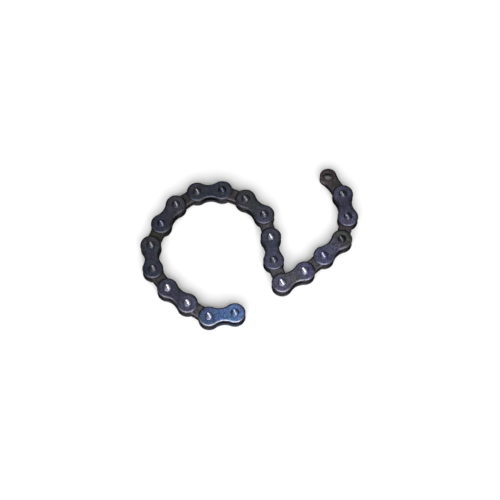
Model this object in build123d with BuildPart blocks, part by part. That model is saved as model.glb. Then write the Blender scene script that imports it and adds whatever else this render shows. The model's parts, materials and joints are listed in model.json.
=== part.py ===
from build123d import *
import os
from itertools import accumulate
from math import cos, radians, sin

# A length of narrow roller chain lying flat: outer and inner links take turns, and every
# link is made of its real pieces. Pins stand along Z, and Z = 0 is the pins' lower ends.

# Driving dimensions, millimetres
pitch = 12.7                    # 1/2 in between pin centres
inner_width = 2.38              # 3/32 in between the inner plates
roller_diameter = 7.75
roller_side_gap = 0.10          # each side, between a roller and the inner plates
roller_bore_gap = 0.08          # radial running gap of a roller on its bush
roller_edge = 0.25
bush_diameter = 5.20
bush_edge = 0.12
pin_diameter = 3.60
pin_bore_gap = 0.05             # radial running gap of a pin in its bush
rivet_diameter = 4.30           # spread end that holds the outer plate
rivet_height = 0.50
rivet_edge = 0.22
inner_plate_thickness = 0.90
inner_head_radius = 4.30
inner_waist_half_width = 3.30
outer_plate_thickness = 0.85
outer_head_radius = 5.20
outer_waist_half_width = 3.50
plate_edge = 0.16               # bevel around each stamped plate
plate_gap = 0.08                # between an inner plate and the outer plate over it

# Lie of the chain: heading of the first link, then the turn at each pin between two links,
# in whole degrees, positive anticlockwise from above
first_heading = -172
turns = (
    -41, -6, -15, -30, -29, -11, -22, -30, -26, -21,
    -32, -9, 13, 100, 12, 3, 31, 25, 24,
)

# Levels above and below the chain's middle plane
inner_face = inner_width / 2
inner_outside = inner_face + inner_plate_thickness
outer_face = inner_outside + plate_gap
outer_outside = outer_face + outer_plate_thickness
pin_end = outer_outside + rivet_height


def pin_centres():
    """Pin centres in plan, one more than there are links, with the box of the chain at 0, 0."""
    headings = list(accumulate(turns, initial=first_heading))
    steps_x = [pitch * cos(radians(heading)) for heading in headings]
    steps_y = [pitch * sin(radians(heading)) for heading in headings]
    xs = list(accumulate(steps_x, initial=0))
    ys = list(accumulate(steps_y, initial=0))
    heads = [outer_head_radius] * len(headings) + [inner_head_radius]
    middle_x = (min(x - r for x, r in zip(xs, heads)) + max(x + r for x, r in zip(xs, heads))) / 2
    middle_y = (min(y - r for y, r in zip(ys, heads)) + max(y + r for y, r in zip(ys, heads))) / 2
    return [(x - middle_x, y - middle_y) for x, y in zip(xs, ys)], headings


def link_plane(start, end, heading):
    """Middle plane of one link: origin half-way between its pins, X from the first to the second."""
    middle = ((start[0] + end[0]) / 2, (start[1] + end[1]) / 2, pin_end)
    along = (cos(radians(heading)), sin(radians(heading)), 0)
    return Plane(origin=middle, x_dir=along, z_dir=(0, 0, 1))


def link_plates(plane, face, thickness, head_radius, waist_half_width, hole_radius):
    """The upper and lower plate of a link: round heads joined by a concave waist, two holes."""
    half = pitch / 2
    waist_radius = (half**2 + waist_half_width**2 - head_radius**2) / (
        2 * (head_radius - waist_half_width)
    )
    share = head_radius / (head_radius + waist_radius)
    join_x = half * (1 - share)
    join_y = (waist_half_width + waist_radius) * share
    with BuildPart() as plates:
        for level in (face, -face - thickness):
            with BuildSketch(plane.offset(level)):
                with BuildLine():
                    ThreePointArc((join_x, -join_y), (half + head_radius, 0), (join_x, join_y))
                    ThreePointArc((join_x, join_y), (0, waist_half_width), (-join_x, join_y))
                    ThreePointArc((-join_x, join_y), (-half - head_radius, 0), (-join_x, -join_y))
                    ThreePointArc((-join_x, -join_y), (0, -waist_half_width), (join_x, -join_y))
                make_face()
                with Locations((-half, 0), (half, 0)):
                    Circle(hole_radius, mode=Mode.SUBTRACT)
            extrude(amount=thickness)
        flat_faces = plates.faces().filter_by(Axis.Z)
        chamfer([face.outer_wire().edges() for face in flat_faces], plate_edge)
    return plates


def link_pins(plane):
    """The two pins of an outer link, each with a spread rivet end outside both plates."""
    pin_radius = pin_diameter / 2
    rivet_radius = rivet_diameter / 2
    with BuildPart() as pins:
        with BuildSketch(plane.offset(-outer_outside)):
            with Locations((-pitch / 2, 0), (pitch / 2, 0)):
                Circle(pin_radius)
        extrude(amount=2 * outer_outside)
        for level in (outer_outside, -pin_end):
            with BuildSketch(plane.offset(level)):
                with Locations((-pitch / 2, 0), (pitch / 2, 0)):
                    Circle(rivet_radius)
            extrude(amount=rivet_height)
        ends = pins.faces().filter_by(Axis.Z).group_by(Axis.Z)
        chamfer([face.edges() for face in ends[0] + ends[-1]], rivet_edge)
    return pins


def link_bushes(plane):
    """The two bushes of an inner link, pressed flush into the plates and bored for the pins."""
    with BuildPart() as bushes:
        with BuildSketch(plane.offset(-inner_outside)):
            with Locations((-pitch / 2, 0), (pitch / 2, 0)):
                Circle(bush_diameter / 2)
                Circle(pin_diameter / 2 + pin_bore_gap, mode=Mode.SUBTRACT)
        extrude(amount=2 * inner_outside)
        end_faces = bushes.faces().filter_by(Axis.Z)
        chamfer([face.inner_wires().edges() for face in end_faces], bush_edge)
    return bushes


def chain_roller(centre):
    """One roller, free to turn on its bush, with rounded rims."""
    half_width = inner_face - roller_side_gap
    plane = Plane(origin=(centre[0], centre[1], pin_end - half_width), z_dir=(0, 0, 1))
    with BuildPart() as roller:
        with BuildSketch(plane):
            Circle(roller_diameter / 2)
            Circle(bush_diameter / 2 + roller_bore_gap, mode=Mode.SUBTRACT)
        extrude(amount=2 * half_width)
        rims = [face.outer_wire().edges() for face in roller.faces().filter_by(Axis.Z)]
        fillet(rims, roller_edge)
    return roller


def save(piece, node):
    """Label one finished piece and write it as its own STEP file."""
    piece.part.label = node
    export_step(piece.part, f"parts/{node}.step")


os.makedirs("parts", exist_ok=True)
centres, link_headings = pin_centres()

for index, link_heading in enumerate(link_headings):
    number = f"{index // 2 + 1:02d}"
    link = link_plane(centres[index], centres[index + 1], link_heading)
    if index % 2 == 0:
        outer_plates = link_plates(
            link, outer_face, outer_plate_thickness,
            outer_head_radius, outer_waist_half_width, pin_diameter / 2,
        )
        save(outer_plates, f"outer_plates_{number}")
        save(link_pins(link), f"pins_{number}")
    else:
        inner_plates = link_plates(
            link, inner_face, inner_plate_thickness,
            inner_head_radius, inner_waist_half_width, bush_diameter / 2,
        )
        save(inner_plates, f"inner_plates_{number}")
        save(link_bushes(link), f"bushes_{number}")

for index, centre in enumerate(centres[1:]):
    save(chain_roller(centre), f"roller_{index + 1:02d}")
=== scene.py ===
import json
import random
from math import atan2, cos, exp, hypot, pi, radians, sin

import bmesh
import bpy
from mathutils import Matrix, Vector


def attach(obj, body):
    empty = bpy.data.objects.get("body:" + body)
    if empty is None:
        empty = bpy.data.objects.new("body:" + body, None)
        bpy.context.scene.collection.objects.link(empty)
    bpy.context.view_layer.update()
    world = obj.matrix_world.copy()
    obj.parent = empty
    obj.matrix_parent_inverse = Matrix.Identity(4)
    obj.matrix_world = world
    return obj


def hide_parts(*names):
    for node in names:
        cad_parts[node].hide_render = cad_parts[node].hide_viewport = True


# A length of narrow roller chain lying flat on a pale floor, seen from high in front of it.
# Every stamped plate, riveted pin, bush and roller is one detailed piece that stands for its
# CAD solid and rides on that link's or roller's body. Lengths are in metres.

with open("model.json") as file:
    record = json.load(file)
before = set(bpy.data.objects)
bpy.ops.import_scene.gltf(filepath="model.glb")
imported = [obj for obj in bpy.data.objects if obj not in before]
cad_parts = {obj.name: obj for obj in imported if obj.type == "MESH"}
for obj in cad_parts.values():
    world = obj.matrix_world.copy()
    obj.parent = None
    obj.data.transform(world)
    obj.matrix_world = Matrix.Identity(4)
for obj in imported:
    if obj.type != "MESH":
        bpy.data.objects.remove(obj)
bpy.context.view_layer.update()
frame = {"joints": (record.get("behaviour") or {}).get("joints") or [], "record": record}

MM = 0.001

# The chain's own sizes, the same as the CAD model's
PITCH = 12.7 * MM
INNER_WIDTH = 2.38 * MM
ROLLER_RADIUS = 3.875 * MM
ROLLER_BORE = 2.68 * MM
ROLLER_HALF_WIDTH = 1.09 * MM
BUSH_RADIUS = 2.60 * MM
BUSH_BORE = 1.85 * MM
PIN_RADIUS = 1.80 * MM
RIVET_RADIUS = 2.05 * MM
RIVET_HEIGHT = 0.50 * MM
RIVET_DOME = 0.36 * MM
RIVET_ROUND = 0.10 * MM
RIVET_SINK = 0.07 * MM
INNER_PLATE = {"head": 4.30 * MM, "waist": 3.30 * MM, "thickness": 0.90 * MM, "hole": BUSH_RADIUS}
OUTER_PLATE = {"head": 5.20 * MM, "waist": 3.50 * MM, "thickness": 0.85 * MM, "hole": PIN_RADIUS}
PLATE_GAP = 0.08 * MM
INNER_FACE = INNER_WIDTH / 2
INNER_OUTSIDE = INNER_FACE + INNER_PLATE["thickness"]
OUTER_FACE = INNER_OUTSIDE + PLATE_GAP
OUTER_OUTSIDE = OUTER_FACE + OUTER_PLATE["thickness"]

# Facets: points on a waist arc, on a head, on the line across the waist, and round a pin
WAIST_STEPS = 7
HEAD_STEPS = 34
ACROSS_STEPS = 8
ROUND_STEPS = 48

# A stamped edge, from the outer face round to the inner face: how far in from the outline, and
# how far in from the nearer face. The punched side is rolled over and the other side is sharper.
ROLLED_SIDE = (
    (1.10, 0.0), (0.90, 0.02), (0.74, 0.065), (0.60, 0.12), (0.46, 0.18),
    (0.32, 0.25), (0.19, 0.33), (0.08, 0.42), (0.02, 0.50), (0.0, 0.56),
)
SHARP_SIDE = ((0.0, 0.16), (0.03, 0.07), (0.09, 0.02), (0.18, 0.004), (0.40, 0.0))

# A plate's face: loops between its edge and its hole, the fall towards its edges, and the
# shallow ring pressed into it round each pin
FACE_SHARES = (0.16, 0.34, 0.52, 0.68, 0.82, 0.93, 1.0)
CROWN = 0.035 * MM
CROWN_REACH = 2.4 * MM
DISH_DEPTH = 0.02 * MM
DISH_RADIUS = 2.75 * MM
DISH_WIDTH = 0.55 * MM

# Loops of a pin's domed end, from its middle to its rim, in millimetres from the axis
RIVET_LOOPS = (
    0, 0.12, 0.26, 0.42, 0.6, 0.8, 1.0, 1.2, 1.38, 1.54,
    1.68, 1.8, 1.89, 1.95, 1.97, 1.99, 2.01, 2.03, 2.042, 2.05,
)

# A bush's rounded mouth, as shares of its width, and its outer bevel
BUSH_MOUTH = 0.12 * MM
BUSH_MOUTH_CURVE = ((0.0, 1.0), (0.3, 0.55), (0.62, 0.22), (1.0, 0.0))
BUSH_BEVEL = 0.04 * MM

# A roller's rounded rims, its bore's bevel, and its worn band: how deep and how far from the middle
ROLLER_EDGE = 0.28 * MM
ROLLER_EDGE_STEPS = 5
ROLLER_BEVEL = 0.07 * MM
ROLLER_BAND = ((0.004 * MM, 0.45 * MM), (0.018 * MM, 0.30 * MM))

# Points closer together than this are one point
SAME_POINT = 0.001 * MM

# Reach of the marks that the materials read: oil at the upper plates' edges on the chain's near
# side, and oil with painted shade at their far side, away from the front light; oil at the lower
# plates' edges with painted shade where they lie under the upper plates; wear of the rolled edges;
# oil with painted shade on a plate round a pin, and at a pin's own edge, in the corner between
# them; painted shade down a bush's bore behind its mouth; and darkening at a roller's sides
NEAR_RIM_REACH = 0.45 * MM
FAR_OIL_AND_SHADE_REACH = 1.60 * MM
LOWER_OIL_AND_SHADE_REACH = 4.0 * MM
WEAR_REACH = 1.15 * MM
COLLAR_OIL_AND_SHADE_REACH = 1.1 * MM
PIN_COLLAR_OIL_AND_SHADE_REACH = 0.5 * MM
BORE_SHADE_REACH = 0.5 * MM
ROLLER_SIDE_DARK_REACH = 0.45 * MM

# How far forward an edge may face and still get a little of the far side's oil and painted
# shade, and how much further back it has to face to get it in full, both as shares of facing
# straight back
FAR_START = 0.25
FAR_RUN = 0.75

# Steel shades, linear
SHADES = {
    "bright_blue": (0.088, 0.150, 0.330),
    "azure": (0.060, 0.132, 0.285),
    "steel_blue": (0.056, 0.083, 0.172),
    "lilac": (0.064, 0.066, 0.128),
    "pale_lilac": (0.074, 0.074, 0.120),
    "pale_slate": (0.059, 0.061, 0.106),
    "slate": (0.041, 0.047, 0.074),
    "dusk": (0.032, 0.034, 0.058),
    "deep_slate": (0.026, 0.032, 0.050),
    "ink": (0.015, 0.023, 0.038),
    "graphite": (0.035, 0.036, 0.045),
    "dark_graphite": (0.025, 0.027, 0.040),
    "heather": (0.032, 0.030, 0.055),
    "bronze": (0.051, 0.044, 0.049),
    "rust": (0.067, 0.046, 0.046),
    "olive": (0.036, 0.037, 0.028),
    "olive_grey": (0.062, 0.062, 0.060),
    "umber": (0.032, 0.029, 0.033),
    "ash": (0.076, 0.071, 0.081),
    "dull": (0.080, 0.090, 0.120),
    "dusky": (0.150, 0.160, 0.230),
    "worn": (0.188, 0.195, 0.232),
    "blue_sheen": (0.300, 0.420, 0.660),
    "lilac_sheen": (0.340, 0.340, 0.540),
    "bright": (0.500, 0.520, 0.610),
    "bright_blue_sheen": (0.620, 0.720, 0.980),
    "bright_lilac": (0.760, 0.760, 0.960),
}

# Colours of the plates, temper and oil colours with painted reflection in the lighter, bluer and lilac
# ones: at the first pin, half-way, and at the second pin
OUTER_SHADES = (
    ("bright_blue", "azure", "steel_blue"),
    ("pale_slate", "dusk", "slate"),
    ("deep_slate", "deep_slate", "graphite"),
    ("deep_slate", "dark_graphite", "graphite"),
    ("dark_graphite", "ink", "deep_slate"),
    ("graphite", "graphite", "slate"),
    ("slate", "slate", "pale_slate"),
    ("pale_lilac", "ash", "lilac"),
    ("lilac", "pale_lilac", "olive_grey"),
    ("pale_lilac", "heather", "pale_slate"),
)
INNER_SHADES = (
    ("slate", "ash", "bronze"),
    ("bronze", "bronze", "bronze"),
    ("olive", "olive", "olive"),
    ("umber", "umber", "umber"),
    ("umber", "bronze", "bronze"),
    ("bronze", "ash", "bronze"),
    ("ash", "ash", "ash"),
    ("ash", "ash", "ash"),
    ("bronze", "bronze", "bronze"),
    ("bronze", "bronze", "rust"),
)

# Outer links whose upper plate has bright worn edges, and how worn; the others are worn a little
EDGE_WEAR = {1: 0.95, 2: 0.45, 8: 0.6, 9: 0.3}
SLIGHT_WEAR = 0.16

# Shade of each pin's riveted end, along the chain, lighter for polish and for painted highlight,
# and its share against the plate's own shade
POLISH_AND_HIGHLIGHT = 0.75
PIN_SHADES = (
    "blue_sheen", "bright_blue_sheen", "bright_lilac", "bright_lilac", "worn",
    "worn", "dusky", "worn", "worn", "dull",
    "worn", "worn", "bright", "worn", "bright_lilac",
    "bright_lilac", "lilac_sheen", "dull", "dusky", "worn",
)

# Camera: height above the horizon, distance, width of the view at the chain, and where the
# middle of the view falls beside and below the middle of the pins
VIEW_ELEVATION = 66.5
VIEW_DISTANCE = 60 * PITCH
VIEW_WIDTH = 0.249
VIEW_ASIDE = 1.45 * MM
VIEW_BELOW = 3.05 * MM
SENSOR_WIDTH = 36.0
NEAREST, FARTHEST = 0.05, 10

# Seed of the random draws, and how far apart the pieces' own noise seeds may lie
CHAIN_SEED = 7
SEED_RANGE = 40

# The floor: how far it reaches from the middle, and its pale grey
FLOOR_REACH = 1.5
FLOOR_SHADE = (0.93, 0.93, 0.93, 1.0)
FLOOR_ROUGHNESS = 0.9
FLOOR_SHINE = 0.1

# The broad front light: place, width, length, power and colour
FRONT_PLACE = (0.0, -0.97, 0.99)
FRONT_SIZE = (2.2, 1.25)
FRONT_POWER = 33.0
FRONT_COLOUR = (1.0, 0.995, 0.985)

# The long narrow light overhead: its distance, width, length, power and colour, and its slant in
# degrees, which is the slant of the streak on each pin
STRIP_DISTANCE = 1.2
STRIP_SIZE = (0.11, 1.3)
STRIP_POWER = 2.6
STRIP_COLOUR = (1.0, 1.0, 1.0)
STREAK_LEAN = 24

# The room: each row says where a direction's part starts and ends, and how bright the room is there
ROOM_SIDES = (0.20, 0.62, 1.0, 0.22)
ROOM_FRONT = (-0.85, -0.25, 1.10, 0.0)
ROOM_OVERHEAD = (0.10, 0.65, 0.30, 0.08)
ROOM_HORIZON = (0.02, 0.20, 0.85, 0.0)
ROOM_COLOUR = (0.97, 0.98, 1.0, 1.0)


# ---------------------------------------------------------------- the chain's layout

def pin_centres():
    """Middles of the pins from the riveted outer end to the open inner end."""
    mounts = {mount["name"]: mount["pos_m"] for mount in frame["record"]["mounts"]}
    pivots = [joint["pos_m"] for joint in frame["joints"] if joint["name"].startswith("pivot")]
    places = [mounts["outer_end_joint"], *pivots, mounts["open_end_bore"]]
    return [Vector(place) for place in places]


def link_place(start, end):
    """Placement of a link's own frame: middle between two pins, X from the first to the second."""
    along = end - start
    return Matrix.Translation((start + end) / 2) @ Matrix.Rotation(atan2(along.y, along.x), 4, "Z")


# ---------------------------------------------------------------- plate outline

def waist_circle(plate):
    """Radius of a plate's concave waist arc and the height of its centre above the link's axis."""
    half, head, waist = PITCH / 2, plate["head"], plate["waist"]
    radius = (half**2 + waist**2 - head**2) / (2 * (head - waist))
    return radius, waist + radius


def arc(centre, radius, first, last, steps):
    """Points along an arc, both ends included."""
    angles = [first + (last - first) * step / steps for step in range(steps + 1)]
    return [(centre[0] + radius * cos(a), centre[1] + radius * sin(a)) for a in angles]


def half_outline(plate, inset):
    """Half of a plate's outline moved in by inset: waist middle, round one head, waist middle."""
    half = PITCH / 2
    radius, height = waist_circle(plate)
    lean = atan2(height, half)
    upper = arc((0, height), radius + inset, -pi / 2, -lean, WAIST_STEPS)
    head = arc((half, 0), plate["head"] - inset, pi - lean, lean - pi, HEAD_STEPS)
    lower = arc((0, -height), radius + inset, lean, pi / 2, WAIST_STEPS)
    return upper + head[1:-1] + lower


def edge_distance(plate, x, y):
    """How far a point of a plate lies inside its outline."""
    half = PITCH / 2
    radius, height = waist_circle(plate)
    across, up = abs(x), abs(y)
    if up * half < height * (half - across):
        return hypot(across, height - up) - radius
    return plate["head"] - hypot(across - half, up)


def pin_distance(x, y):
    """How far a point of a link lies from the axis of the nearer pin."""
    return hypot(abs(x) - PITCH / 2, y)


def farness(x, y, place):
    """0 at the edges of a link that face the chain's near side, rising to 1 at its far side."""
    beyond = max(abs(x) - PITCH / 2, 0.0)
    outward = Vector((beyond if x > 0 else -beyond, y, 0)).normalized()
    facing = (place.to_3x3() @ outward).y
    return min(max((facing + FAR_START) / FAR_RUN, 0.0), 1.0)


# ---------------------------------------------------------------- pieces from points and faces

def fade(distance, reach):
    """1 at no distance, falling smoothly to 0 at reach."""
    share = min(max(1 - distance / reach, 0.0), 1.0)
    return share * share * (3 - 2 * share)


def mix(first, second, share):
    """Mix of two colours."""
    return tuple(a + (b - a) * share for a, b in zip(first, second))


def add_mark(mesh, name, kind, field, values):
    """A named number, place or colour at every point of a mesh, for its material to read."""
    mark = mesh.attributes.new(name, kind, "POINT")
    mark.data.foreach_set(field, [number for value in values for number in value])


def make_piece(name, points, faces, place, marks):
    """One smooth closed mesh, shaped about its own origin and then put in its place in the chain.

    marks(point) gives what the steel reads there: its tint, and how much darkening at the rim, wear
    and darkening at the collar it has; the darkening is painted shade, with oil at edges and
    corners. Points also keep their place in the piece, and the piece's own seed."""
    mesh = bpy.data.meshes.new(name)
    work = bmesh.new()
    corners = [work.verts.new(point) for point in points]
    for face in faces:
        work.faces.new([corners[index] for index in face])
    bmesh.ops.remove_doubles(work, verts=work.verts[:], dist=SAME_POINT)
    bmesh.ops.recalc_face_normals(work, faces=work.faces[:])
    work.to_mesh(mesh)
    work.free()
    mesh.polygons.foreach_set("use_smooth", [True] * len(mesh.polygons))
    told = [marks(vertex.co) for vertex in mesh.vertices]
    add_mark(mesh, "tint", "FLOAT_COLOR", "color", [(*values["tint"], 1.0) for values in told])
    for kind in ("rim", "wear", "collar"):
        add_mark(mesh, kind, "FLOAT", "value", [(values[kind],) for values in told])
    add_mark(mesh, "spot", "FLOAT_VECTOR", "vector", [tuple(vertex.co) for vertex in mesh.vertices])
    own_seed = random.uniform(0, SEED_RANGE)
    add_mark(mesh, "seed", "FLOAT", "value", [(own_seed,) for _ in told])
    mesh.transform(place)
    piece = bpy.data.objects.new(name, mesh)
    bpy.context.scene.collection.objects.link(piece)
    return piece


def settle(piece, body, node, material):
    """Give a piece its steel, the body it rides on and the CAD node it stands for."""
    piece.data.materials.append(material)
    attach(piece, body)
    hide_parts(node)


# ---------------------------------------------------------------- plates

def whole_outline(plate, inset):
    """A plate's whole outline moved in by inset, as one closed loop of points."""
    half = half_outline(plate, inset)
    return half + [(-x, y) for x, y in reversed(half[1:-1])]


def relief(plate, x, y):
    """How far a stamped plate's outer face sinks: towards its edges, and in a ring at each pin."""
    crown = CROWN * fade(edge_distance(plate, x, y), CROWN_REACH)
    from_dish = (pin_distance(x, y) - DISH_RADIUS) / DISH_WIDTH
    return crown + DISH_DEPTH * exp(-from_dish * from_dish)


def add_rim(points, faces, plate):
    """The edge all round a plate, as loops of points from its outer to its inner face."""
    thickness = plate["thickness"]
    outer_side = [(inset * MM, thickness - down * MM, True) for inset, down in ROLLED_SIDE]
    inner_side = [(inset * MM, up * MM, False) for inset, up in SHARP_SIDE]
    loops = []
    for inset, level, sinks in outer_side + inner_side:
        start = len(points)
        outline = whole_outline(plate, inset)
        points += [(x, y, level - (relief(plate, x, y) if sinks else 0)) for x, y in outline]
        loops.append(range(start, len(points)))
    add_bands(faces, loops)


def add_bands(faces, loops):
    """Four-sided faces between each loop of points and the next, all the way round."""
    for near, far in zip(loops, loops[1:]):
        count = len(near)
        for step in range(count):
            following = (step + 1) % count
            faces.append((near[step], near[following], far[following], far[step]))


def add_face(points, faces, plate, inset, level, sinks):
    """One face of a plate, in two halves, each spreading from its hole out to the edge loop."""
    half = PITCH / 2
    border = half_outline(plate, inset)
    waist = border[0][1]
    across = [(0.0, -waist + 2 * waist * step / ACROSS_STEPS) for step in range(1, ACROSS_STEPS)]
    border += across
    for side in (1, -1):
        loops = []
        for share in (0.0, *FACE_SHARES):
            start = len(points)
            for x, y in border:
                angle = atan2(y, x - half)
                hole_x = half + plate["hole"] * cos(angle)
                hole_y = plate["hole"] * sin(angle)
                spot_x = side * (x + (hole_x - x) * share)
                spot_y = y + (hole_y - y) * share
                sink = relief(plate, spot_x, spot_y) if sinks else 0
                points.append((spot_x, spot_y, level - sink))
            loops.append(range(start, len(points)))
        add_bands(faces, loops)


def add_hole_walls(points, faces, plate):
    """The wall of each hole, joining the two faces. It uses the same points as the faces do."""
    half = PITCH / 2
    outer_border = half_outline(plate, ROLLED_SIDE[0][0] * MM)
    inner_border = half_outline(plate, SHARP_SIDE[-1][0] * MM)
    for side in (1, -1):
        loops = []
        for border, level, sinks in (
            (outer_border, plate["thickness"], True),
            (inner_border, 0.0, False),
        ):
            waist = border[0][1]
            start = len(points)
            across = [
                (0.0, -waist + 2 * waist * step / ACROSS_STEPS) for step in range(1, ACROSS_STEPS)
            ]
            for x, y in border + across:
                angle = atan2(y, x - half)
                spot_x = side * (half + plate["hole"] * cos(angle))
                spot_y = plate["hole"] * sin(angle)
                sink = relief(plate, spot_x, spot_y) if sinks else 0
                points.append((spot_x, spot_y, level - sink))
            loops.append(range(start, len(points)))
        add_bands(faces, loops)


def plate_shape(plate):
    """Points and faces of a stamped plate lying on its sharp side at height 0, rolled side up."""
    points, faces = [], []
    add_rim(points, faces, plate)
    add_face(points, faces, plate, ROLLED_SIDE[0][0] * MM, plate["thickness"], True)
    add_face(points, faces, plate, SHARP_SIDE[-1][0] * MM, 0.0, False)
    add_hole_walls(points, faces, plate)
    return points, faces


def make_plate(name, plate, level, upper, place, shades, worn):
    """The upper or lower plate of a link, its inner face at level from the chain's middle.

    Both lie with their rolled side up. Oil darkens the upper one's edge, and painted shade widens
    the dark band on the chain's far side, away from the front light; the lower one is darkened all
    round, by oil at its edge and painted shade where it lies under the upper one. worn says how
    bright the upper one's rolled edge is."""
    points, faces = plate_shape(plate)
    base = level if upper else -level - plate["thickness"]
    placed = [(x, y, base + z) for x, y, z in points]
    first, middle, second = (SHADES[shade] for shade in shades)

    def marks(point):
        from_edge = edge_distance(plate, point.x, point.y)
        share = min(abs(point.x) / (PITCH / 2), 1.0)
        far = farness(point.x, point.y, place)
        upper_reach = NEAR_RIM_REACH + (FAR_OIL_AND_SHADE_REACH - NEAR_RIM_REACH) * far
        # rim and collar darken with oil and painted shade; far edges and the lower plate get wider
        # painted shade
        return {
            "tint": mix(middle, second if point.x > 0 else first, share),
            "rim": fade(from_edge, upper_reach if upper else LOWER_OIL_AND_SHADE_REACH),
            "wear": worn * fade(from_edge, WEAR_REACH) if upper else 0.0,
            "collar": fade(pin_distance(point.x, point.y) - plate["hole"], COLLAR_OIL_AND_SHADE_REACH),
        }

    return make_piece(name, placed, faces, place, marks)


# ---------------------------------------------------------------- round pieces

def turned_shape(profile, closed):
    """Points and faces of a turned piece: profile is (radius, height) pairs, closed for a tube."""
    points, faces, loops = [], [], []
    for radius, height in profile:
        start = len(points)
        if radius == 0:
            points.append((0.0, 0.0, height))
            loops.append([start] * ROUND_STEPS)
            continue
        turns = [2 * pi * step / ROUND_STEPS for step in range(ROUND_STEPS)]
        points += [(radius * cos(turn), radius * sin(turn), height) for turn in turns]
        loops.append(range(start, len(points)))
    if closed:
        loops.append(loops[0])
    add_bands(faces, loops)
    faces = [tuple(dict.fromkeys(face)) for face in faces]
    return points, faces


def rivet_height(radius):
    """Height of a pin's domed, spread end over the plate."""
    edge = RIVET_HEIGHT - RIVET_DOME
    near_edge = min((RIVET_RADIUS - radius) / RIVET_ROUND, 1.0)
    return RIVET_DOME * (1 - (radius / RIVET_RADIUS) ** 2) + edge * (1 - (1 - near_edge) ** 2) ** 0.5


def pin_profile():
    """Upper end to lower end of a pin."""
    skirt = OUTER_OUTSIDE - RIVET_SINK
    upper = [(radius * MM, OUTER_OUTSIDE + rivet_height(radius * MM)) for radius in RIVET_LOOPS]
    upper += [(RIVET_RADIUS, skirt), (PIN_RADIUS, skirt), (PIN_RADIUS, INNER_FACE)]
    return upper + [(radius, -height) for radius, height in reversed(upper)]


def bush_profile():
    """Section of a bush: bore, rounded mouths and outside, all round."""
    top = [
        (BUSH_BORE + BUSH_MOUTH * out, INNER_OUTSIDE - BUSH_MOUTH * down)
        for out, down in BUSH_MOUTH_CURVE
    ]
    top += [(BUSH_RADIUS - BUSH_BEVEL, INNER_OUTSIDE), (BUSH_RADIUS, INNER_OUTSIDE - BUSH_BEVEL)]
    top += [(BUSH_RADIUS, INNER_FACE)]
    return top + [(radius, -height) for radius, height in reversed(top)]


def roller_profile():
    """Section of a roller: rounded rims, a worn running band and the bore, all round."""
    turns = [pi / 2 * step / ROLLER_EDGE_STEPS for step in range(ROLLER_EDGE_STEPS + 1)]
    edge_radius, edge_height = ROLLER_RADIUS - ROLLER_EDGE, ROLLER_HALF_WIDTH - ROLLER_EDGE
    rim = [
        (edge_radius + ROLLER_EDGE * sin(turn), edge_height + ROLLER_EDGE * cos(turn))
        for turn in turns
    ]
    band = [(ROLLER_RADIUS - depth, height) for depth, height in ROLLER_BAND]
    bore = [
        (ROLLER_BORE, ROLLER_HALF_WIDTH - ROLLER_BEVEL),
        (ROLLER_BORE + ROLLER_BEVEL, ROLLER_HALF_WIDTH),
    ]
    top = bore + rim + band
    return top + [(radius, -height) for radius, height in reversed(top)]


def make_turned(name, profile, closed, centre, marks):
    """A turned piece standing at a pin's place."""
    points, faces = turned_shape(profile, closed)
    return make_piece(name, points, faces, Matrix.Translation(centre), marks)


def pin_marks(plate_shade, end_shade):
    """Marks of a pin: the plate's shade made lighter at the ends, as polish and painted highlight, and
    darker where it meets the plate, as oil and painted shade.
    """
    shade = mix(SHADES[plate_shade], SHADES[end_shade], POLISH_AND_HIGHLIGHT)

    def marks(point):
        radius = hypot(point.x, point.y)
        # Oil and painted shade in the corner where the rivet meets the plate
        collar = fade(abs(radius - RIVET_RADIUS), PIN_COLLAR_OIL_AND_SHADE_REACH)
        buried = abs(point.z) < OUTER_FACE
        return {"tint": shade, "rim": 0.0, "wear": 0.0, "collar": 1.0 if buried else collar}

    return marks


def bush_marks(point):
    """A bush: painted shade down its bore and bright mouths."""
    depth = INNER_OUTSIDE - abs(point.z)
    # Painted shade, full a little way below each mouth
    oil = 1 - fade(depth, BORE_SHADE_REACH)
    return {"tint": SHADES["ash"], "rim": 0.0, "wear": 0.0, "collar": oil}


def roller_marks(point):
    """A roller: dark sides, and the worn shade all over."""
    # Darker towards the sides
    oil = fade(ROLLER_HALF_WIDTH - abs(point.z), ROLLER_SIDE_DARK_REACH)
    return {"tint": SHADES["worn"], "rim": oil, "wear": 0.0, "collar": 0.0}


# ---------------------------------------------------------------- materials

# Moves a noise to another part of the pattern, so that two noises don't coincide
NOISE_SHIFT = (0.05, 0.03, 0.07)

# The noises in the steel: size of the blots, detail and roughness of each
BLOTCH_NOISE = (3.0 * MM, 3.0, 0.6)
PATCH_NOISE = (1.25 * MM, 4.0, 0.65)
SPECK_NOISE = (0.62 * MM, 3.0, 0.7)
TEMPER_NOISE = (4.5 * MM, 3.0, 0.6)
STAIN_NOISE = (2.0 * MM, 4.0, 0.6)
GRAIN_NOISE = (0.10 * MM, 2.0, 0.6)
PIT_NOISE = (0.50 * MM, 2.0, 0.5)

# Which part of a noise's 0 to 1 range each of its effects runs over
SHADE_SPAN = (0.34, 0.66)
STAIN_SPAN = (0.48, 0.70)
TEMPER_SPAN = (0.38, 0.62)
PIT_SPAN = (0.64, 0.74)
RAGGED_SPAN = (0.3, 0.7)
WEAR_SPAN = (0.35, 0.6)
RIM_SPAN = (0.42, 0.72)
COLLAR_SPAN = (0.35, 0.85)
DULL_SPAN = (0.25, 0.75)

# How much the grain shades the steel, how ragged oil edges are, how wear comes and goes, and
# what grain, pits and stains add to the roughness
GRAIN_STRENGTH = 0.10
RAGGEDNESS = 0.14
WEAR_RANGE = (0.55, 1.25)
GRAIN_DULLS = 0.03
PITS_DULL = 0.2
STAINS_DULL = 0.15
PIT_SHADE = (0.018, 0.014, 0.012, 1.0)
PIT_DEPTH = 0.02 * MM
OIL_ROUGHNESS = 0.25


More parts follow.
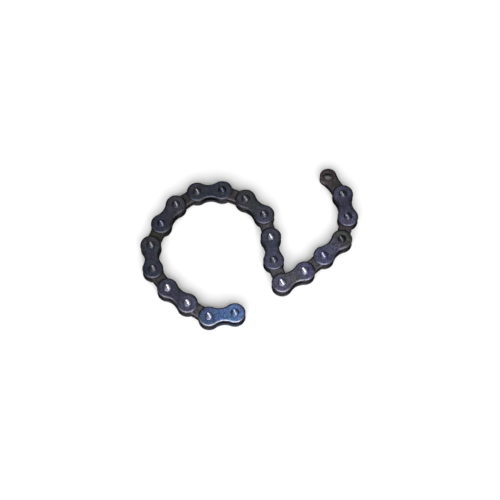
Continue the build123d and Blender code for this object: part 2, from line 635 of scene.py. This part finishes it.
class Steel:
    """A node material under construction: each method adds a node and gives its result."""

    def __init__(self, name):
        self.material = bpy.data.materials.new(name)
        self.material.use_nodes = True
        self.tree = self.material.node_tree
        self.shader = self.tree.nodes["Principled BSDF"]

    def node(self, kind, inputs, **settings):
        made = self.tree.nodes.new(kind)
        for key, value in settings.items():
            setattr(made, key, value)
        for key, value in inputs.items():
            self.put(value, made.inputs[key])
        return made

    def put(self, value, socket):
        if isinstance(value, bpy.types.NodeSocket):
            self.tree.links.new(value, socket)
        else:
            socket.default_value = value

    def mark(self, name):
        made = self.node("ShaderNodeAttribute", {}, attribute_name=name)
        return made.outputs[{"spot": "Vector", "tint": "Color"}.get(name, "Fac")]

    def stretched(self, vector, along):
        inputs = {0: vector, 1: (along, 1.0, 1.0)}
        return self.node("ShaderNodeVectorMath", inputs, operation="MULTIPLY").outputs[0]

    def shifted(self, vector):
        inputs = {0: vector, 1: NOISE_SHIFT}
        return self.node("ShaderNodeVectorMath", inputs, operation="ADD").outputs[0]

    def noise(self, vector, seed, look):
        """Noise of a look: about how wide its blots are, its detail and its roughness."""
        size, detail, rough = look
        made = self.node(
            "ShaderNodeTexNoise",
            {"Vector": vector, "W": seed, "Scale": 1 / size, "Detail": detail, "Roughness": rough},
            noise_dimensions="4D",
        )
        return made.outputs["Fac"]

    def fit(self, value, low, high, to_low, to_high):
        """Map low..high to to_low..to_high with a smooth run at both ends, and hold it there."""
        made = self.node(
            "ShaderNodeMapRange",
            {"Value": value, "From Min": low, "From Max": high, "To Min": to_low, "To Max": to_high},
            interpolation_type="SMOOTHSTEP",
        )
        return made.outputs["Result"]

    def math(self, operation, first, second):
        made = self.node("ShaderNodeMath", {0: first, 1: second}, operation=operation, use_clamp=False)
        return made.outputs[0]

    def blend(self, share, first, second, kind="MIX"):
        made = self.node(
            "ShaderNodeMix", {0: share, 6: first, 7: second}, data_type="RGBA", blend_type=kind
        )
        return made.outputs[2]

    def bump(self, height, depth, normal=None):
        inputs = {"Height": height, "Distance": depth, "Strength": 1.0}
        if normal is not None:
            inputs["Normal"] = normal
        return self.node("ShaderNodeBump", inputs).outputs["Normal"]

    def grey(self, value):
        return self.node("ShaderNodeCombineColor", {0: value, 1: value, 2: value}).outputs[0]


def chain_steel(name, finish):
    """Worked, oily steel whose shade comes from the piece: blotches, stains, grain, pits, and rims and
    collars darkened by oil and painted shade.
    """
    steel = Steel(name)
    spots = steel.mark("spot")
    seed = steel.mark("seed")
    blotch = steel.noise(spots, seed, BLOTCH_NOISE)
    patch = steel.noise(spots, seed, PATCH_NOISE)
    speck = steel.noise(spots, seed, SPECK_NOISE)
    temper = steel.noise(steel.shifted(spots), seed, TEMPER_NOISE)
    stain = steel.noise(steel.shifted(spots), seed, STAIN_NOISE)
    grain = steel.noise(steel.stretched(spots, finish["grain_along"]), seed, GRAIN_NOISE)
    pits = steel.noise(steel.shifted(spots), seed, PIT_NOISE)

    colour = steel.mark("tint")
    for cloud, strength in (
        (blotch, finish["blotch"]),
        (patch, finish["patch"]),
        (speck, finish["speck"]),
        (grain, GRAIN_STRENGTH),
    ):
        share = steel.fit(cloud, *SHADE_SPAN, 1 - strength, 1 + strength)
        colour = steel.blend(1.0, colour, steel.grey(share), "MULTIPLY")
    stained = steel.fit(stain, *STAIN_SPAN, 0.0, finish["stain"])
    colour = steel.blend(stained, colour, (*finish["stain_shade"], 1.0))
    tempered = steel.blend(steel.fit(temper, *TEMPER_SPAN, 0.0, 1.0), VIOLET_CAST, TEAL_CAST)
    colour = steel.blend(finish["temper"], colour, steel.blend(1.0, colour, tempered, "MULTIPLY"))
    pitted = steel.fit(pits, *PIT_SPAN, 0.0, finish["pitting"])
    colour = steel.blend(pitted, colour, PIT_SHADE)

    ragged = steel.fit(patch, *RAGGED_SPAN, -RAGGEDNESS, RAGGEDNESS)
    wear_varies = steel.fit(speck, *WEAR_SPAN, *WEAR_RANGE)
    worn = steel.math("MULTIPLY", steel.mark("wear"), wear_varies)
    colour = steel.blend(worn, colour, (*finish["wear_shade"], 1.0))
    # Darkened edges: oil, and painted shade at the far edges and over the lower plates
    rim = steel.math("ADD", steel.mark("rim"), ragged)
    rim_oil_and_shade = steel.fit(rim, *RIM_SPAN, 0.0, finish["rim"])
    colour = steel.blend(rim_oil_and_shade, colour, (*finish["oil_and_shade_black"], 1.0))
    # Darkened collars: oil and painted shade round the pins, and painted shade down the bores
    collar = steel.math("ADD", steel.mark("collar"), ragged)
    collar_oil_and_shade = steel.fit(collar, *COLLAR_SPAN, 0.0, finish["collar"])
    colour = steel.blend(collar_oil_and_shade, colour, (*finish["oil_and_shade_black"], 1.0))

    dull = steel.fit(patch, *DULL_SPAN, *finish["roughness"])
    dull = steel.math("ADD", dull, steel.fit(grain, *RAGGED_SPAN, -GRAIN_DULLS, GRAIN_DULLS))
    dull = steel.math("ADD", dull, steel.math("MULTIPLY", pitted, PITS_DULL))
    dull = steel.math("ADD", dull, steel.math("MULTIPLY", stained, STAINS_DULL))
    dull = steel.math("SUBTRACT", dull, steel.math("MULTIPLY", worn, finish["wear_shines"]))

    normal = steel.bump(blotch, finish["wave"])
    normal = steel.bump(speck, finish["pebble"], normal)
    normal = steel.bump(grain, finish["grain"], normal)
    normal = steel.bump(steel.math("MULTIPLY", pitted, -1.0), PIT_DEPTH, normal)

    steel.put(colour, steel.shader.inputs["Base Color"])
    steel.put(dull, steel.shader.inputs["Roughness"])
    steel.put(normal, steel.shader.inputs["Normal"])
    steel.shader.inputs["Metallic"].default_value = finish["metal"]
    steel.shader.inputs["Coat Weight"].default_value = finish["oil"]
    steel.shader.inputs["Coat Roughness"].default_value = OIL_ROUGHNESS
    return steel.material


# Casts that tint the steel in patches, as tempering does
VIOLET_CAST = (1.30, 0.86, 1.22, 1.0)
TEAL_CAST = (0.78, 1.14, 0.98, 1.0)

# Finishes: how strongly each effect shows, its shades, the roughness from the shiniest to the
# dullest patches, and the depth of the bumps
PLATE_FINISH = {
    "temper": 0.30,
    "blotch": 0.18,
    "patch": 0.30,
    "speck": 0.50,
    "stain": 0.45,
    "stain_shade": (0.060, 0.046, 0.040),
    "pitting": 0.7,
    "rim": 0.93,
    "wear_shade": (0.30, 0.30, 0.36),
    "wear_shines": 0.06,
    "collar": 0.34,
    # Near-black of oil and of painted shade at edges, round pins and in bores
    "oil_and_shade_black": (0.009, 0.009, 0.012),
    "roughness": (0.36, 0.52),
    "wave": 0.06 * MM,
    "pebble": 0.020 * MM,
    "grain": 0.0025 * MM,
    "grain_along": 0.06,
    "metal": 0.9,
    "oil": 0.10,
}
INNER_FINISH = {
    **PLATE_FINISH,
    "temper": 0.2,
    "roughness": (0.42, 0.58),
    "stain_shade": (0.050, 0.040, 0.030),
    "pitting": 0.85,
    # Near-black of oil and of painted shade on the inner plates
    "oil_and_shade_black": (0.010, 0.008, 0.008),
}
PIN_FINISH = {
    **PLATE_FINISH,
    "temper": 0.12,
    "blotch": 0.10,
    "patch": 0.14,
    "speck": 0.12,
    "stain": 0.25,
    "pitting": 0.4,
    "collar": 0.55,
    "roughness": (0.17, 0.26),
    "wave": 0.006 * MM,
    "pebble": 0.001 * MM,
    "grain_along": 1.0,
    "metal": 1.0,
    "oil": 0.0,
}
TURNED_FINISH = {
    **PIN_FINISH,
    "rim": 0.8,
    "roughness": (0.22, 0.38),
}


def make_steels():
    """One steel for each of the record's material slots."""
    return {
        "outer_plate_steel": chain_steel("outer_plate_steel", PLATE_FINISH),
        "inner_plate_steel": chain_steel("inner_plate_steel", INNER_FINISH),
        "pin_steel": chain_steel("pin_steel", PIN_FINISH),
        "bush_steel": chain_steel("bush_steel", TURNED_FINISH),
        "roller_steel": chain_steel("roller_steel", TURNED_FINISH),
    }


# ---------------------------------------------------------------- building the chain

def build_outer_link(number, start, end, steels):
    """Two waisted plates and the two riveted pins that hold them."""
    body, node = f"outer_link_{number:02d}", f"outer_plates_{number:02d}"
    place = link_place(start, end)
    for side, upper in (("upper", True), ("lower", False)):
        plate = make_plate(
            f"outer_plate_{number:02d}_{side}", OUTER_PLATE, OUTER_FACE, upper, place,
            OUTER_SHADES[number - 1], EDGE_WEAR.get(number, SLIGHT_WEAR),
        )
        settle(plate, body, node, steels["outer_plate_steel"])
    shades = OUTER_SHADES[number - 1]
    for letter, centre, plate_shade, end_shade in (
        ("a", start, shades[0], PIN_SHADES[2 * number - 2]),
        ("b", end, shades[2], PIN_SHADES[2 * number - 1]),
    ):
        marks = pin_marks(plate_shade, end_shade)
        pin = make_turned(f"pin_{number:02d}_{letter}", pin_profile(), False, centre, marks)
        settle(pin, body, f"pins_{number:02d}", steels["pin_steel"])


def build_inner_link(number, start, end, steels):
    """Two inner plates and the two bushes pressed into them."""
    body, node = f"inner_link_{number:02d}", f"inner_plates_{number:02d}"
    place = link_place(start, end)
    for side, upper in (("upper", True), ("lower", False)):
        plate = make_plate(
            f"inner_plate_{number:02d}_{side}", INNER_PLATE, INNER_FACE, upper, place,
            INNER_SHADES[number - 1], SLIGHT_WEAR,
        )
        settle(plate, body, node, steels["inner_plate_steel"])
    for letter, centre in (("a", start), ("b", end)):
        bush = make_turned(f"bush_{number:02d}_{letter}", bush_profile(), True, centre, bush_marks)
        settle(bush, body, f"bushes_{number:02d}", steels["bush_steel"])


def build_chain():
    """All links in turn, and a roller at every pin that has a bush."""
    random.seed(CHAIN_SEED)
    steels = make_steels()
    centres = pin_centres()
    for index, (start, end) in enumerate(zip(centres, centres[1:])):
        build = build_inner_link if index % 2 else build_outer_link
        build(index // 2 + 1, start, end, steels)
    for number, centre in enumerate(centres[1:], start=1):
        node = f"roller_{number:02d}"
        roller = make_turned(f"{node}_turned", roller_profile(), True, centre, roller_marks)
        body = f"roller_body_{number:02d}"
        settle(roller, body, node, steels["roller_steel"])
    return centres


# ---------------------------------------------------------------- floor, light and camera

def make_floor():
    """A plain pale floor under the pins' lower ends."""
    mesh = bpy.data.meshes.new("floor")
    corners = [(x * FLOOR_REACH, y * FLOOR_REACH, 0) for x, y in ((-1, -1), (1, -1), (1, 1), (-1, 1))]
    mesh.from_pydata(corners, [], [(0, 1, 2, 3)])
    floor = bpy.data.objects.new("floor", mesh)
    bpy.context.scene.collection.objects.link(floor)
    paper = bpy.data.materials.new("pale_floor")
    paper.use_nodes = True
    shader = paper.node_tree.nodes["Principled BSDF"]
    shader.inputs["Base Color"].default_value = FLOOR_SHADE
    shader.inputs["Roughness"].default_value = FLOOR_ROUGHNESS
    shader.inputs["Specular IOR Level"].default_value = FLOOR_SHINE
    mesh.materials.append(paper)


def add_light(name, place, size, power, colour):
    """A soft rectangular light at place, facing the middle of the floor."""
    lamp = bpy.data.lights.new(name, "AREA")
    lamp.shape = "RECTANGLE"
    lamp.size, lamp.size_y = size
    lamp.energy = power
    lamp.color = colour
    light = bpy.data.objects.new(name, lamp)
    bpy.context.scene.collection.objects.link(light)
    light.location = place
    light.rotation_euler = (-Vector(place)).to_track_quat("-Z", "Y").to_euler()
    return light


def add_world():
    """A room that is bright in front, dimmer overhead and to the back, and dark at the sides.

    The flat tops mirror the dim part overhead, and only edges that lean forward mirror the front."""
    world = bpy.data.worlds.new("room")
    bpy.context.scene.world = world
    world.use_nodes = True
    tree = world.node_tree

    def fit(value, low, high, to_low, to_high):
        made = tree.nodes.new("ShaderNodeMapRange")
        made.interpolation_type = "SMOOTHSTEP"
        tree.links.new(value, made.inputs["Value"])
        for name, number in (
            ("From Min", low), ("From Max", high), ("To Min", to_low), ("To Max", to_high),
        ):
            made.inputs[name].default_value = number
        return made.outputs["Result"]

    def math(operation, *values):
        made = tree.nodes.new("ShaderNodeMath")
        made.operation = operation
        for index, value in enumerate(values):
            tree.links.new(value, made.inputs[index])
        return made.outputs[0]

    spots = tree.nodes.new("ShaderNodeTexCoord")
    parts = tree.nodes.new("ShaderNodeSeparateXYZ")
    tree.links.new(spots.outputs["Generated"], parts.inputs[0])
    across, depth, height = parts.outputs
    sides = fit(math("ABSOLUTE", across), *ROOM_SIDES)
    front = fit(depth, *ROOM_FRONT)
    overhead = fit(depth, *ROOM_OVERHEAD)
    upper = math("MULTIPLY", sides, math("ADD", front, overhead))
    horizon = fit(height, *ROOM_HORIZON)
    background = tree.nodes["Background"]
    tree.links.new(math("MAXIMUM", upper, horizon), background.inputs["Strength"])
    background.inputs["Color"].default_value = ROOM_COLOUR


def light_room():
    """A broad soft light in front, and a long narrow one overhead that streaks the domed pins."""
    add_light("front_soft", FRONT_PLACE, FRONT_SIZE, FRONT_POWER, FRONT_COLOUR)
    lean = radians(STREAK_LEAN)
    tilt = radians(VIEW_ELEVATION)
    toward = Vector((0, cos(tilt), sin(tilt)))
    along = Vector((-sin(lean), cos(lean) * sin(tilt), -cos(lean) * cos(tilt)))
    strip = add_light("strip", toward * STRIP_DISTANCE, STRIP_SIZE, STRIP_POWER, STRIP_COLOUR)
    side = along.cross(toward)
    strip.rotation_euler = Matrix((side, along, toward)).transposed().to_euler()


def make_camera(centres):
    """A long lens looking down on the middle of the pins from the front."""
    middle = sum(centres, Vector()) / len(centres)
    tilt = radians(VIEW_ELEVATION)
    back = Vector((0, -cos(tilt), sin(tilt)))
    up = Vector((0, sin(tilt), cos(tilt)))
    target = middle + Vector((VIEW_ASIDE, 0, 0)) - up * VIEW_BELOW
    data = bpy.data.cameras.new("camera")
    data.sensor_width = SENSOR_WIDTH
    data.lens = SENSOR_WIDTH * VIEW_DISTANCE / VIEW_WIDTH
    data.clip_start, data.clip_end = NEAREST, FARTHEST
    camera = bpy.data.objects.new("camera", data)
    bpy.context.scene.collection.objects.link(camera)
    camera.location = target + back * VIEW_DISTANCE
    camera.rotation_euler = (-back).to_track_quat("-Z", "Y").to_euler()
    bpy.context.scene.camera = camera


make_camera(build_chain())
make_floor()
add_world()
light_room()
bpy.context.scene.view_settings.view_transform = "Standard"
